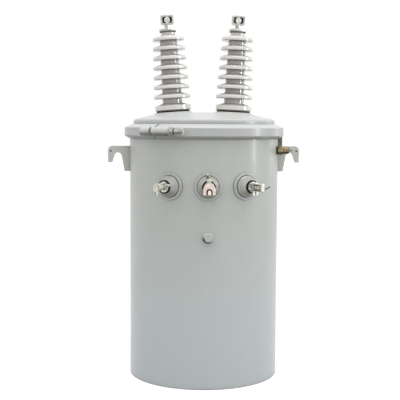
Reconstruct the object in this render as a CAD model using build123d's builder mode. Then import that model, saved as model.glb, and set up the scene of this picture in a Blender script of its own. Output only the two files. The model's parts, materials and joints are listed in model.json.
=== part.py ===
from build123d import *
from math import cos, degrees, radians, sin, tan
import os

# Pole mounted distribution transformer. Millimetres, +Z up. The origin is the centre of the
# tank's bottom rim, -Y is the front with the low-voltage bushings, +Y the side facing the pole.

# ---- clearances ----------------------------------------------------------------------------
seat_gap = 0.2  # between a piece and the curved surface it is welded or clamped to
slip_gap = 0.3  # between a shank, bolt or stud and its hole

# ---- tank ----------------------------------------------------------------------------------
tank_radius = 228.5
tank_height = 748.0  # rim to the gasket seat on the rolled lip
sheet = 3.0  # sheet steel of tank, bottom and cover
rim_round = 1.2
bottom_recess = 14.0
bottom_skirt = 10.0  # depth of the bottom plate's turned-down edge
lip_reach = 13.3  # the rolled lip stands this far out of the wall
filling_drop = 49.5  # low-voltage axis down to the top of the core, coils and oil, one block
filling_gap = 0.5

# ---- cover ---------------------------------------------------------------------------------
gasket_thickness = 4.0
cover_inset = 11.0  # cover wall inside the tank wall
cover_wall_rise = 34.5  # gasket top to the shoulder's corner
cover_slope = 13.0  # degrees
crown_rise = 55.0  # gasket top to the flat crown
crown_round = 150.0
shoulder_round = 9.0

# ---- clamp band ----------------------------------------------------------------------------
band_sheet = 2.0
band_play = 1.0  # lip edge to the band's inner face
band_below = 11.0  # gasket seat down to the band's lower corner
band_above = 10.0  # gasket top up to the band's upper corner
band_lower_slope = 31.6  # degrees
band_upper_slope = 24.0
band_corner = 3.0
band_lower_end = 2.5  # lower leg's edge out from the tank wall
band_upper_end = 3.5  # upper leg's edge out from the cover wall
closure_azimuth = -35.0  # degrees from the front, towards +X
closure_lift = 12.7  # bolt axis out of the band's face
closure_height = 3.0  # bolt axis above the gasket seat
lug_radius = 12.5
lug_saddle = 18.0  # height of the foot that joins a barrel to the band
band_gap = 9.0
left_lug_start = -51.6
left_lug_end = -20.6
right_lug_length = 58.4
band_bolt_radius = 6.0
band_nut_height = 11.0
band_nut_space = 5.0  # nut to the bolt's head
band_head_height = 23.5
band_nut_flats = 19.0
band_washer_radius = 11.5
band_bolt_tip = 3.0  # bolt beyond its head
washer_thickness = 2.5

# ---- high-voltage bushings -----------------------------------------------------------------
hv_left_reach = 95.5  # middle of a seat out from the tank's axis
hv_right_reach = 90.2
hv_left_tilt = 4.0  # degrees, outwards
hv_right_tilt = 2.8
hv_seat_rise = 57.0  # gasket top to the middle of a seat
pad_radius = 56.0
pad_flare = 9.0
pad_depth = 12.0
hv_gasket_radius = 51.0
hv_gasket_thickness = 4.0
hv_flange_radius = 55.0
hv_flange_height = 16.5
hv_flange_foot = 3.5  # the flange tapers in below this height
hv_shoulder_height = 7.5
hv_shank_radius = 22.0
hv_shank_length = 60.0
hv_core_foot = 30.5
hv_core_top = 26.5
shed_count = 7
shed_pitch = 29.3
first_shed = 46.8  # seat to the middle of the lowest shed's edge
shed_foot_radius = 57.2
shed_top_radius = 48.0
shed_edge = 11.5  # height of a shed's edge
shed_top_round = 5.5
shed_foot_round = 3.0
shed_slope = 15.0  # degrees
shed_undercut = 1.5
shed_bite = 1.0  # a shed's section runs this far into the core
neck_radius = 21.0
neck_length = 15.4  # top shed to the cap
cap_radius = 25.8
cap_foot_radius = 24.4
cap_height = 10.2
cap_skirt = 4.6  # height of the cap's lower part, under the groove
cap_groove = 0.8
cap_round = 1.2
stem_radius = 8.75
stem_height = 12.8
stem_neck_radius = 6.0
stem_neck = 1.6  # height of the thinner neck under the eye
eye_width = 39.5
eye_height = 28.5
eye_round = 5.0
eye_wall = 4.4
eye_inner_round = 6.5
eye_depth = 14.0
clamp_web = 5.0  # thickness of the block that closes the eye
clamp_bar_width = 8.2
clamp_bar_depth = 11.0
clamp_pad_width = 16.5
clamp_pad_height = 13.2
clamp_pad_depth = 12.4
clamp_pad_round = 3.4

# ---- low-voltage bushings ------------------------------------------------------------------
lv_drop = 154.5  # gasket seat down to the bushings' axis
lv_pitch = 28.7  # degrees
boss_radius = 40.0
boss_rise = 4.0
boss_round = 2.0
lv_flange_radius = 31.0
lv_flange_height = 7.0
lv_flange_edge = 4.2  # upright part of the flange's edge
lv_flange_fall = 1.0
lv_step_radius = 27.5
lv_step_height = 3.0
lv_tip_radius = 19.0
lv_length = 27.0
lv_shank_radius = 13.0
lv_shank_length = 24.0
lv_seal_radius = 19.6
lv_seal_thickness = 3.5
lv_stud_radius = 6.0
lv_stud_tip_radius = 4.0
stud_tip_length = 9.0  # beyond the nut
set_screw_radius = 3.5  # the screw in the left nut's side
set_screw_height = 6.0  # above the stud's axis
set_screw_reach = 27.0
lv_washer_radius = 15.0
lv_nut_flats = 22.0
lv_nut_height = 9.0
saddle_shoulder = 1.0  # stud's axis above the start of a saddle's upright sides
saddle_round = 2.5
saddle_slot = 4.5
saddle_plate = 6.0  # thickness of the two side saddles
left_saddle_foot = 16.5
left_saddle_crown = 12.0
left_saddle_high = 9.0  # above the stud's axis
left_saddle_low = 20.0  # below it
left_slot_drop = 10.5  # stud's axis down to the top of the slot between the feet
right_saddle_foot = 19.0
right_saddle_crown = 14.0
right_saddle_high = 13.5
right_saddle_low = 23.0
right_slot_drop = 8.0
neutral_saddle_foot = 34.0
neutral_saddle_crown = 20.0
neutral_saddle_high = 12.5
neutral_saddle_low = 19.0
neutral_saddle_depth = 18.0
neutral_arch_drop = 1.2  # stud's axis down to the top of the arch over the tongue
neutral_arch_depth = 8.5
tongue_width = 9.5
tongue_groove = 3.6  # width of the groove round the tongue of a yoke
yoke_radius = 11.5
yoke_wall = 4.5  # end of the groove to the yoke's outer end
yoke_groove_depth = 6.5
yoke_round = 1.5
left_neck_radius = 6.5
left_neck_length = 15.0
left_barrel_length = 19.0
left_bore_radius = 5.0  # cable's hole in the underside of the left barrel
right_yoke_length = 35.0
right_yoke_width = 11.0
right_yoke_corner = 4.0
right_pin_radius = 2.0
right_pin_height = -7.0
right_pin_reach = 25.0
right_pin_rise = 21.0  # degrees

# ---- ground strap and ground pad -----------------------------------------------------------
strap_width = 12.0
strap_thickness = 2.0
strap_margin = 1.0  # strap's foot inside the edge of the boss
strap_round = 2.5
ground_drop = 302.0  # gasket seat down to the bolt
ground_pad_radius = 14.0
ground_pad_rise = 9.0
ground_bolt_radius = 6.35
ground_bolt_flats = 19.0
ground_head_height = 8.0

# ---- lifting lugs --------------------------------------------------------------------------
lug_plate = 10.0
lug_reach = 67.5  # out of the tank wall
lug_drop = 43.0  # gasket seat down to the lugs' top edge
lug_root_height = 78.0
lug_root_foot = 17.0
lug_leg_root = 18.5  # width of the leg beside the throat
lug_leg_width = 12.7
lug_leg_round = 3.0
lug_leg_length = 50.5
lug_throat_radius = 11.8
lug_crown = 20.2  # metal above the throat
lug_corner = 13.0
lug_hole_radius = 2.75
lug_hole_inset = 8.5
lug_hole_drop = 15.5

# ---- relief valve and band stop ------------------------------------------------------------
valve_azimuth = 73.0
valve_drop = 54.0
valve_collar_radius = 12.0
valve_collar_height = 4.2
valve_groove_radius = 9.5
valve_groove = 0.8
valve_hex_flats = 26.0
valve_hex_height = 13.0
valve_body_radius = 10.2
valve_length = 37.5
valve_chamfer = 3.0
valve_pin_radius = 2.0
valve_pin_reach = 8.0
valve_depth = 3.0  # valve's section starts this far inside the wall's tangent
stop_azimuth = 86.0
stop_width = 14.0
stop_reach = 13.0
stop_height = 23.5

# ---- pole hangers --------------------------------------------------------------------------
hanger_standoff = 50.0
hanger_face = 90.0
hanger_root = 132.0
hanger_plate = 6.0
hanger_bend = 8.0
hanger_above = 45.0
hanger_below = 45.0
keyhole_margin = 16.0
hanger_bolt_radius = 8.75
hanger_pitch = 285.75  # between the two bolt seats
hanger_drop = 103.0  # gasket seat down to the upper bolt
keyhole_radius = 16.0
keyhole_drop = 38.0

# ---- places worked out from the sizes ------------------------------------------------------
cover_seat = tank_height + gasket_thickness
lip_radius = tank_radius + lip_reach
cover_radius = tank_radius - cover_inset
band_radius = lip_radius + band_play + band_sheet
band_low = tank_height - band_below
band_high = cover_seat + band_above
band_low_tip = tank_radius + band_lower_end
band_high_tip = cover_radius + band_upper_end
shoulder_height = cover_seat + cover_wall_rise
crown_height = cover_seat + crown_rise
hv_seat_height = cover_seat + hv_seat_rise
lv_height = tank_height - lv_drop
lug_top = tank_height - lug_drop


os.makedirs("parts", exist_ok=True)


def save(piece, name):
    """Labels a finished sub-part and writes its STEP file."""
    piece.part.label = name
    export_step(piece.part, f"parts/{name}.step")


def lower_leg(radius, depth):
    """Height at a radius of the band's lower leg, measured this deep into its sheet."""
    slope = radians(band_lower_slope)
    return band_low - (band_radius - radius) * tan(slope) + depth / cos(slope)


def upper_leg(radius, depth):
    """Height at a radius of the band's upper leg, measured this deep into its sheet."""
    slope = radians(band_upper_slope)
    return band_high + (band_radius - radius) * tan(slope) - depth / cos(slope)


def slope_line(radius, depth):
    """Height at a radius of the cover's sloping top, this deep under its surface."""
    slope = radians(cover_slope)
    return shoulder_height + (cover_radius - radius) * tan(slope) - depth / cos(slope)


def radial_plane(azimuth, radius, height):
    """A plane facing out of the tank: local x along the wall, local y up, z outwards."""
    turn = radians(azimuth)
    return Plane(
        origin=(radius * sin(turn), -radius * cos(turn), height),
        x_dir=(cos(turn), sin(turn), 0),
        z_dir=(sin(turn), -cos(turn), 0),
    )


def section_of(plane):
    """The plane that holds the axis of another: local x the same, local y along its z."""
    return Plane(origin=plane.origin, x_dir=plane.x_dir, z_dir=-plane.y_dir)


def side_of(plane, turn=0.0):
    """The plane that holds the axis of a radial one: local x outwards, y up, until turned
    about that axis by this many degrees."""
    across = plane.x_dir * cos(radians(turn)) + plane.y_dir * sin(radians(turn))
    return Plane(origin=plane.origin, x_dir=plane.z_dir, z_dir=-across)


def meridian(azimuth):
    """A plane through the tank's axis: local x outwards at this azimuth, local y up."""
    turn = radians(azimuth)
    return Plane((0, 0, 0), x_dir=(sin(turn), -cos(turn), 0), z_dir=(-cos(turn), -sin(turn), 0))


def axis_of(plane):
    return Axis(plane.origin, plane.z_dir)


# ---- tank ----------------------------------------------------------------------------------
def lv_plane(azimuth, depth=0.0):
    """The face of a low-voltage boss, or a plane this far in front of it."""
    return radial_plane(azimuth, tank_radius + boss_rise + depth, lv_height)


lv_azimuths = {"left": -lv_pitch, "centre": 0.0, "right": lv_pitch}
tank_inner = tank_radius - sheet

with BuildPart() as tank_wall:
    with BuildSketch(Plane.XZ) as wall_section:
        with BuildLine():
            Polyline(
                (tank_inner, 0),
                (tank_radius, 0),
                (tank_radius, lower_leg(tank_radius, band_sheet + seat_gap)),
                (lip_radius, lower_leg(lip_radius, band_sheet + seat_gap)),
                (lip_radius, tank_height),
                (tank_inner, tank_height),
                close=True,
            )
        make_face()
    revolve(axis=Axis.Z)
    fillet(tank_wall.edges().group_by(Axis.Z)[0].sort_by(SortBy.RADIUS)[-1], rim_round)
    for azimuth in lv_azimuths.values():
        with BuildSketch(lv_plane(azimuth)):
            Circle(boss_radius)
        extrude(amount=-boss_rise - sheet)
    with Locations((0, 0, lv_height)):
        Cylinder(tank_inner, 3 * boss_radius, mode=Mode.SUBTRACT)
    for azimuth in lv_azimuths.values():
        with BuildSketch(lv_plane(azimuth)):
            Circle(lv_shank_radius + slip_gap)
        extrude(amount=-boss_rise - 2 * sheet, mode=Mode.SUBTRACT)
    circles = tank_wall.edges().filter_by(GeomType.CIRCLE)
    fillet(circles.filter_by(lambda edge: edge.radius == boss_radius), boss_round)
save(tank_wall, "tank_wall")

bottom_radius = tank_inner - seat_gap
with BuildPart() as tank_bottom:
    with BuildSketch(Plane.XZ):
        with BuildLine():
            Polyline(
                (0, bottom_recess),
                (bottom_radius - sheet, bottom_recess),
                (bottom_radius - sheet, bottom_recess - bottom_skirt),
                (bottom_radius, bottom_recess - bottom_skirt),
                (bottom_radius, bottom_recess + sheet),
                (0, bottom_recess + sheet),
                close=True,
            )
        make_face()
    revolve(axis=Axis.Z)
    fillet(tank_bottom.edges().filter_by(GeomType.CIRCLE).sort_by(Axis.Z)[-1], sheet / 2)
save(tank_bottom, "tank_bottom")

with BuildPart() as core_and_oil:
    with BuildSketch(Plane.XY.offset(bottom_recess + sheet)):
        Circle(tank_inner - filling_gap)
    extrude(amount=lv_height - filling_drop - bottom_recess - sheet)
save(core_and_oil, "core_and_oil")


# ---- cover ---------------------------------------------------------------------------------
hv_seats = {"left": (-hv_left_reach, -hv_left_tilt), "right": (hv_right_reach, hv_right_tilt)}


def hv_plane(word, depth=0.0):
    """A high-voltage bushing's seat, or a plane this far up its axis."""
    reach, lean = hv_seats[word]
    tilt = radians(lean)
    seat = Plane(
        origin=(reach, 0, hv_seat_height),
        x_dir=(cos(tilt), 0, -sin(tilt)),
        z_dir=(sin(tilt), 0, cos(tilt)),
    )
    return seat.offset(depth)


def cover_skin(depth):
    """The cover's outline from its axis to the flange, this deep under its surface."""
    crown = crown_height - depth
    slope = tan(radians(cover_slope))
    crown_edge = cover_radius - (crown - slope_line(cover_radius, depth)) / slope
    wall = cover_radius - depth
    flange = lip_radius - depth
    return FilletPolyline(
        (0, crown),
        (crown_edge, crown),
        (wall, slope_line(wall, depth)),
        (wall, upper_leg(wall, band_sheet + seat_gap + depth)),
        (flange, upper_leg(flange, band_sheet + seat_gap + depth)),
        (flange, cover_seat + depth),
        radius=[crown_round, shoulder_round - depth, 0, 0],
    )


hem_inner = tank_inner + slip_gap
with BuildPart() as cover:
    with BuildSketch(Plane.XZ):
        with BuildLine():
            outer = cover_skin(0)
            inner = cover_skin(sheet)
            Line(outer @ 0, inner @ 0)
            Polyline(
                outer @ 1,
                (hem_inner, cover_seat),
                (hem_inner, cover_seat + sheet),
                inner @ 1,
            )
        make_face()
    revolve(axis=Axis.Z)
    with Locations([hv_plane(word) for word in hv_seats]):
        Cone(
            pad_radius + pad_flare,
            pad_radius,
            pad_depth,
            align=(Align.CENTER, Align.CENTER, Align.MAX),
        )
        Cylinder(hv_shank_radius + slip_gap, 3 * pad_depth, mode=Mode.SUBTRACT)
        Cylinder(
            pad_radius,
            pad_depth,
            align=(Align.CENTER, Align.CENTER, Align.MIN),
            mode=Mode.SUBTRACT,
        )
save(cover, "cover")

with BuildPart() as cover_gasket:
    with BuildSketch(Plane.XY.offset(tank_height)):
        Circle(lip_radius - slip_gap)
        Circle(hem_inner, mode=Mode.SUBTRACT)
    extrude(amount=gasket_thickness)
save(cover_gasket, "cover_gasket")

# ---- clamp band and its bolted closure -----------------------------------------------------
closure_face = radial_plane(
    closure_azimuth, band_radius + closure_lift, tank_height + closure_height
)
# local x out of the band, z along the bolt, towards +X
closure = Plane(closure_face.origin, x_dir=closure_face.z_dir, z_dir=closure_face.x_dir)
gap_azimuth = closure_azimuth + degrees((left_lug_end + band_gap / 2) / band_radius)
gap_angle = degrees(band_gap / band_radius)

with BuildPart() as clamp_band:
    with BuildSketch(meridian(gap_azimuth + gap_angle / 2)):
        with BuildLine():
            skin = FilletPolyline(
                (band_low_tip, lower_leg(band_low_tip, 0)),
                (band_radius, band_low),
                (band_radius, band_high),
                (band_high_tip, upper_leg(band_high_tip, 0)),
                radius=band_corner,
            )
            offset(skin, amount=band_sheet, side=Side.LEFT)
        make_face()
    revolve(axis=Axis.Z, revolution_arc=360 - gap_angle)
save(clamp_band, "clamp_band")


def band_lug(name, start, end):
    """A barrel along the closure bolt, on a saddle welded to the band's face."""
    with BuildPart() as lug:
        with BuildSketch(closure.offset(start)):
            Circle(lug_radius)
            with Locations((-lug_radius, 0)):
                Rectangle(2 * lug_radius, lug_saddle)
        extrude(amount=end - start)
        Cylinder(band_radius + seat_gap, 2 * (band_high + lug_radius), mode=Mode.SUBTRACT)
        with BuildSketch(closure.offset(start)):
            Circle(band_bolt_radius + slip_gap)
        extrude(amount=end - start, mode=Mode.SUBTRACT)
    save(lug, name)


right_lug_start = left_lug_end + band_gap
right_lug_end = right_lug_start + right_lug_length
band_lug("band_lug_left", left_lug_start, left_lug_end)
band_lug("band_lug_right", right_lug_start, right_lug_end)

band_nut_start = right_lug_end + seat_gap
band_head_start = band_nut_start + washer_thickness + band_nut_height + band_nut_space
band_bolt_end = band_head_start + band_head_height + band_bolt_tip

with BuildPart() as band_bolt:
    with BuildSketch(closure.offset(left_lug_start)):
        Circle(band_bolt_radius)
    extrude(amount=band_bolt_end - left_lug_start)
    with BuildSketch(closure.offset(band_head_start)):
        RegularPolygon(band_nut_flats / 2, 6, major_radius=False)
    extrude(amount=band_head_height)
save(band_bolt, "band_bolt")

with BuildPart() as band_nut:
    with BuildSketch(closure.offset(band_nut_start)):
        Circle(band_washer_radius)
    extrude(amount=washer_thickness)
    with BuildSketch(closure.offset(band_nut_start + washer_thickness)):
        RegularPolygon(band_nut_flats / 2, 6, major_radius=False)
    extrude(amount=band_nut_height)
    with BuildSketch(closure.offset(band_nut_start)):
        Circle(band_bolt_radius + slip_gap)
    extrude(amount=washer_thickness + band_nut_height, mode=Mode.SUBTRACT)
save(band_nut, "band_nut")


# ---- high-voltage bushings -----------------------------------------------------------------
def shed_outline(middle, root_radius, radius):
    """One shed's section: sloping top, rounded edge and a slightly undercut underside."""
    root = root_radius - shed_bite
    top = middle + shed_edge / 2
    foot = middle - shed_edge / 2
    with BuildLine() as outline:
        skin = FilletPolyline(
            (root, top + (radius - root) * tan(radians(shed_slope))),
            (radius, top),
            (radius, foot),
            (root, foot + shed_undercut),
            radius=[shed_top_round, shed_foot_round],
        )
        Line(skin @ 1, skin @ 0)
    return outline.line


foot_height = hv_gasket_thickness + hv_flange_height + hv_shoulder_height
last_shed = first_shed + (shed_count - 1) * shed_pitch
neck_start = last_shed + shed_edge / 2
cap_start = neck_start + neck_length


def along_core(height, foot, top):
    """A size that runs evenly from the bushing's foot to its top shed."""
    share = (height - foot_height) / (last_shed - foot_height)
    return foot + (top - foot) * share


def hv_bushing(name, seat):
    with BuildPart() as bushing:
        with BuildSketch(section_of(seat)):
            with BuildLine():
                Polyline(
                    (0, -hv_shank_length),
                    (hv_shank_radius, -hv_shank_length),
                    (hv_shank_radius, hv_gasket_thickness),
                    (hv_gasket_radius, hv_gasket_thickness),
                    (hv_flange_radius, hv_gasket_thickness + hv_flange_foot),
                    (hv_flange_radius, hv_gasket_thickness + hv_flange_height),
                    (hv_core_foot, foot_height),
                    (hv_core_top, last_shed),
                    (neck_radius, neck_start),
                    (neck_radius, cap_start),
                    (0, cap_start),
                    close=True,
                )
            make_face()
            for index in range(shed_count):
                middle = first_shed + index * shed_pitch
                core = along_core(middle, hv_core_foot, hv_core_top)
                radius = along_core(middle, shed_foot_radius, shed_top_radius)
                make_face(shed_outline(middle, core, radius).edges())
        revolve(axis=axis_of(seat))
    save(bushing, name)


cap_step = cap_start + cap_skirt
cap_end = cap_start + cap_height
eye_start = cap_end + stem_height
for word in hv_seats:
    seat = hv_plane(word)
    hv_bushing(f"hv_bushing_{word}", seat)

    with BuildPart() as hv_gasket:
        with BuildSketch(seat):
            Circle(hv_gasket_radius)
            Circle(hv_shank_radius + slip_gap, mode=Mode.SUBTRACT)
        extrude(amount=hv_gasket_thickness)
    save(hv_gasket, f"hv_gasket_{word}")

    with BuildPart() as hv_cap:
        with BuildSketch(section_of(seat)):
            with BuildLine():
                Polyline(
                    (0, cap_start),
                    (cap_foot_radius, cap_start),
                    (cap_radius, cap_step),
                    (cap_radius - cap_groove, cap_step),
                    (cap_radius - cap_groove, cap_step + cap_groove),
                    (cap_radius, cap_step + cap_groove),
                    (cap_radius, cap_end),
                    (0, cap_end),
                    close=True,
                )
            make_face()
        revolve(axis=axis_of(seat))
        fillet(hv_cap.edges().sort_by(axis_of(seat))[-1], cap_round)
    save(hv_cap, f"hv_cap_{word}")

    eye_plane = section_of(hv_plane(word, eye_start + eye_height / 2))
    opening_width = eye_width - 2 * eye_wall
    opening_height = eye_height - 2 * eye_wall
    with BuildPart() as hv_terminal:
        with BuildSketch(hv_plane(word, cap_end)):
            Circle(stem_radius)
        extrude(amount=stem_height - stem_neck)
        with BuildSketch(hv_plane(word, cap_end)):
            Circle(stem_neck_radius)
        extrude(amount=stem_height + eye_wall / 2)
        with BuildSketch(eye_plane):
            RectangleRounded(eye_width, eye_height, eye_round)
            RectangleRounded(
                opening_width, opening_height, eye_inner_round, mode=Mode.SUBTRACT
            )
        extrude(amount=eye_depth / 2, both=True)
    save(hv_terminal, f"hv_terminal_{word}")

    with BuildPart() as hv_clamp:
        with BuildSketch(eye_plane):
            RectangleRounded(
                opening_width - 2 * seat_gap,
                opening_height - 2 * seat_gap,
                eye_inner_round - seat_gap,
            )
        extrude(amount=clamp_web / 2, both=True)
        with BuildSketch(eye_plane):
            Rectangle(clamp_bar_width, opening_height - 2 * seat_gap)
        extrude(amount=clamp_bar_depth / 2, both=True)
        with BuildSketch(eye_plane):
            RectangleRounded(clamp_pad_width, clamp_pad_height, clamp_pad_round)
        extrude(amount=clamp_pad_depth / 2, both=True)
    save(hv_clamp, f"hv_clamp_{word}")


# ---- low-voltage bushings ------------------------------------------------------------------
def lv_bushing(name, azimuth):
    face = lv_plane(azimuth)
    with BuildPart() as bushing:
        with BuildSketch(section_of(face)):
            with BuildLine():
                Polyline(
                    (0, -lv_shank_length),
                    (lv_shank_radius, -lv_shank_length),
                    (lv_shank_radius, 0),
                    (lv_flange_radius, 0),
                    (lv_flange_radius, lv_flange_edge),
                    (lv_step_radius + lv_flange_fall, lv_flange_height),
                    (lv_step_radius, lv_flange_height + lv_flange_fall),
                    (lv_step_radius, lv_flange_height + lv_flange_fall + lv_step_height),
                    (lv_tip_radius, lv_length),
                    (0, lv_length),
                    close=True,
                )
            make_face()
        revolve(axis=axis_of(face))
        with BuildSketch(face.offset(lv_length)):
            Circle(lv_stud_radius + slip_gap)
        extrude(amount=-lv_length, mode=Mode.SUBTRACT)
    save(bushing, name)


def lv_stud(name, azimuth, screw):
    """The terminal stud with its washer and nut, down on the seal, and its thinner tip."""
    with BuildPart() as stud:
        with BuildSketch(lv_plane(azimuth, lv_washer_start)):
            Circle(lv_washer_radius)
        extrude(amount=washer_thickness)
        with BuildSketch(lv_plane(azimuth, lv_washer_start + washer_thickness)):
            RegularPolygon(lv_nut_flats / 2, 6, major_radius=False)
        extrude(amount=lv_nut_height)
        with BuildSketch(lv_plane(azimuth)):
            Circle(lv_stud_radius)
        extrude(amount=nut_top)
        with BuildSketch(lv_plane(azimuth)):
            Circle(lv_stud_tip_radius)
        extrude(amount=nut_top + stud_tip_length)
        if screw:
            with BuildSketch(side_of(lv_plane(azimuth, nut_top - lv_nut_height / 2))):
                with Locations((0, set_screw_height)):
                    Circle(set_screw_radius)
            extrude(amount=-set_screw_reach)
    save(stud, name)


def saddle_outline(foot, crown, high, low):
    """A pressure plate's outline round the stud's axis: sloping shoulders, upright sides."""
    return FilletPolyline(
        (-foot / 2, -low),
        (-foot / 2, -saddle_shoulder),
        (-crown / 2, high),
        (crown / 2, high),
        (foot / 2, -saddle_shoulder),
        (foot / 2, -low),
        close=True,
        radius=saddle_round,
    )


def foot_slot(low, drop, width):
    """An open slot up from a saddle's lower edge to this far under the stud's axis."""
    with Locations((0, -low)):
        SlotOverall(2 * (low - drop), width, rotation=90, mode=Mode.SUBTRACT)


lv_washer_start = lv_length + lv_seal_thickness
nut_top = lv_washer_start + washer_thickness + lv_nut_height
for word, azimuth in lv_azimuths.items():
    lv_bushing(f"lv_bushing_{word}", azimuth)

    with BuildPart() as lv_seal:
        with BuildSketch(lv_plane(azimuth, lv_length)):
            Circle(lv_seal_radius)
            Circle(lv_stud_radius + slip_gap, mode=Mode.SUBTRACT)
        extrude(amount=lv_seal_thickness)
    save(lv_seal, f"lv_seal_{word}")

    lv_stud(f"lv_stud_{word}", azimuth, word == "left")

left_start = lv_plane(lv_azimuths["left"], nut_top)
left_end = left_neck_length + left_barrel_length
with BuildPart() as lv_eye_left:
    with BuildSketch(left_start.offset(left_neck_length)):
        Circle(yoke_radius)
    extrude(amount=left_barrel_length)
    fillet(lv_eye_left.edges().filter_by(GeomType.CIRCLE), yoke_round)
    with BuildSketch(left_start):
        Circle(left_neck_radius)
    extrude(amount=left_neck_length + yoke_round)
    with BuildSketch(side_of(left_start, 90)):
        with Locations((left_end - left_barrel_length / 2, 0)):
            Circle(left_bore_radius)
    extrude(amount=yoke_radius, mode=Mode.SUBTRACT)
    with BuildSketch(left_start):
        Circle(lv_stud_tip_radius + slip_gap)
    extrude(amount=stud_tip_length + slip_gap, mode=Mode.SUBTRACT)
save(lv_eye_left, "lv_eye_left")

with BuildPart() as lv_saddle_left:
    with BuildSketch(left_start.offset(left_end)):
        with BuildLine():
            saddle_outline(left_saddle_foot, left_saddle_crown, left_saddle_high, left_saddle_low)
        make_face()
        foot_slot(left_saddle_low, left_slot_drop, saddle_slot)
    extrude(amount=saddle_plate)
save(lv_saddle_left, "lv_saddle_left")

neutral_front = lv_plane(0, nut_top + neutral_saddle_depth)
neutral_arch = tongue_width + 2 * saddle_slot
with BuildPart() as lv_saddle_centre:
    with BuildSketch(neutral_front):
        with BuildLine():
            saddle_outline(
                neutral_saddle_foot, neutral_saddle_crown, neutral_saddle_high, neutral_saddle_low
            )
        make_face()
    extrude(amount=-neutral_saddle_depth)
    with BuildSketch(neutral_front):
        with Locations((0, -neutral_saddle_low)):
            SlotOverall(2 * (neutral_saddle_low - neutral_arch_drop), neutral_arch, rotation=90)
        foot_slot(neutral_saddle_low, neutral_arch_drop + saddle_slot, tongue_width)
    extrude(amount=-neutral_arch_depth, mode=Mode.SUBTRACT)
    with BuildSketch(lv_plane(0, nut_top)):
        Circle(lv_stud_tip_radius + slip_gap)
    extrude(amount=stud_tip_length + slip_gap, mode=Mode.SUBTRACT)
save(lv_saddle_centre, "lv_saddle_centre")

right_start = lv_plane(lv_azimuths["right"], nut_top)
with BuildPart() as lv_saddle_right:
    with BuildSketch(right_start):
        with BuildLine():
            saddle_outline(
                right_saddle_foot, right_saddle_crown, right_saddle_high, right_saddle_low
            )
        make_face()
        foot_slot(right_saddle_low, right_slot_drop, saddle_slot)
        Circle(lv_stud_tip_radius + slip_gap, mode=Mode.SUBTRACT)
    extrude(amount=saddle_plate)
save(lv_saddle_right, "lv_saddle_right")

right_yoke_start = right_start.offset(saddle_plate)
right_groove_end = right_yoke_length - yoke_wall
with BuildPart() as lv_eye_right:
    with BuildSketch(right_yoke_start):
        RectangleRounded(right_yoke_width, 2 * yoke_radius, right_yoke_corner)
    extrude(amount=right_yoke_length)
    fillet(lv_eye_right.faces().filter_by(right_yoke_start).edges(), yoke_round)
    with BuildSketch(side_of(right_yoke_start).offset(right_yoke_width / 2 - yoke_groove_depth)):
        SlotOverall(2 * right_groove_end, tongue_width + 2 * tongue_groove)
        SlotOverall(2 * (right_groove_end - tongue_groove), tongue_width, mode=Mode.SUBTRACT)
    extrude(amount=yoke_radius, mode=Mode.SUBTRACT)
    with BuildSketch(side_of(right_yoke_start, right_pin_rise)):
        with Locations((right_yoke_length - yoke_wall / 2, right_pin_height)):
            Circle(right_pin_radius)
    extrude(amount=-right_pin_reach)
    with BuildSketch(right_yoke_start):
        Circle(lv_stud_tip_radius + slip_gap)
    extrude(amount=stud_tip_length - saddle_plate + slip_gap, mode=Mode.SUBTRACT)
save(lv_eye_right, "lv_eye_right")

# ---- neutral's ground strap, ground pad and its bolt ---------------------------------------
strap_high = boss_radius - strap_margin
strap_low = neutral_saddle_high
with BuildPart() as ground_strap:
    with BuildSketch(side_of(lv_plane(0))):
        with BuildLine():
            path = FilletPolyline(
                (0, strap_high),
                (0, lv_flange_radius + strap_round + strap_thickness),
                (nut_top, lv_seal_radius + strap_round),
                (nut_top, strap_low),
                (nut_top + neutral_saddle_depth, strap_low),
                radius=strap_round,
            )
            offset(path, amount=strap_thickness, side=Side.LEFT)
        make_face()
    extrude(amount=strap_width / 2, both=True)
save(ground_strap, "ground_strap")

pad_face = radial_plane(0, tank_radius + ground_pad_rise, tank_height - ground_drop)
with BuildPart() as ground_pad:
    with BuildSketch(pad_face):
        Circle(ground_pad_radius)
    extrude(amount=-2 * ground_pad_rise)
    Cylinder(tank_radius + seat_gap, 2 * tank_height, mode=Mode.SUBTRACT)
    with BuildSketch(pad_face):
        Circle(ground_bolt_radius + slip_gap)
    extrude(amount=-2 * ground_pad_rise, mode=Mode.SUBTRACT)
save(ground_pad, "ground_pad")

with BuildPart() as ground_bolt:
    with BuildSketch(pad_face):
        RegularPolygon(ground_bolt_flats / 2, 6, major_radius=False)
    extrude(amount=ground_head_height)
    with BuildSketch(pad_face):
        Circle(ground_bolt_radius)
    extrude(amount=slip_gap - ground_pad_rise)
save(ground_bolt, "ground_bolt")


# ---- lifting lugs --------------------------------------------------------------------------
def lifting_lug(name, side):
    """A hook cut from plate and welded edge-on: root, throat and outer leg."""
    wall = tank_radius + seat_gap
    tip = tank_radius + lug_reach
    throat_height = lug_top - lug_crown - lug_throat_radius
    throat = tip - lug_leg_root - lug_throat_radius
    leg_foot = lug_top - lug_leg_length
    with BuildPart() as lug:
        with BuildSketch(Plane.XZ):
            with BuildLine():
                arch = ThreePointArc(
                    (throat - lug_throat_radius, throat_height),
                    (throat, throat_height + lug_throat_radius),
                    (throat + lug_throat_radius, throat_height),
                )
                leg = FilletPolyline(
                    arch @ 1,
                    (tip - lug_leg_width, leg_foot),
                    (tip, leg_foot),
                    (tip, lug_top),
                    (wall, lug_top),
                    radius=[lug_leg_round, 0, lug_corner],
                )
                Polyline(
                    leg @ 1,
                    (wall, lug_top - lug_root_height),
                    (tank_radius + lug_root_foot, lug_top - lug_root_height),
                    arch @ 0,
                )
            make_face()
            with Locations((tip - lug_hole_inset, lug_top - lug_hole_drop)):
                Circle(lug_hole_radius, mode=Mode.SUBTRACT)
            if side < 0:
                mirror(about=Plane.YZ, mode=Mode.REPLACE)
        extrude(amount=lug_plate / 2, both=True)
    save(lug, name)


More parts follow.
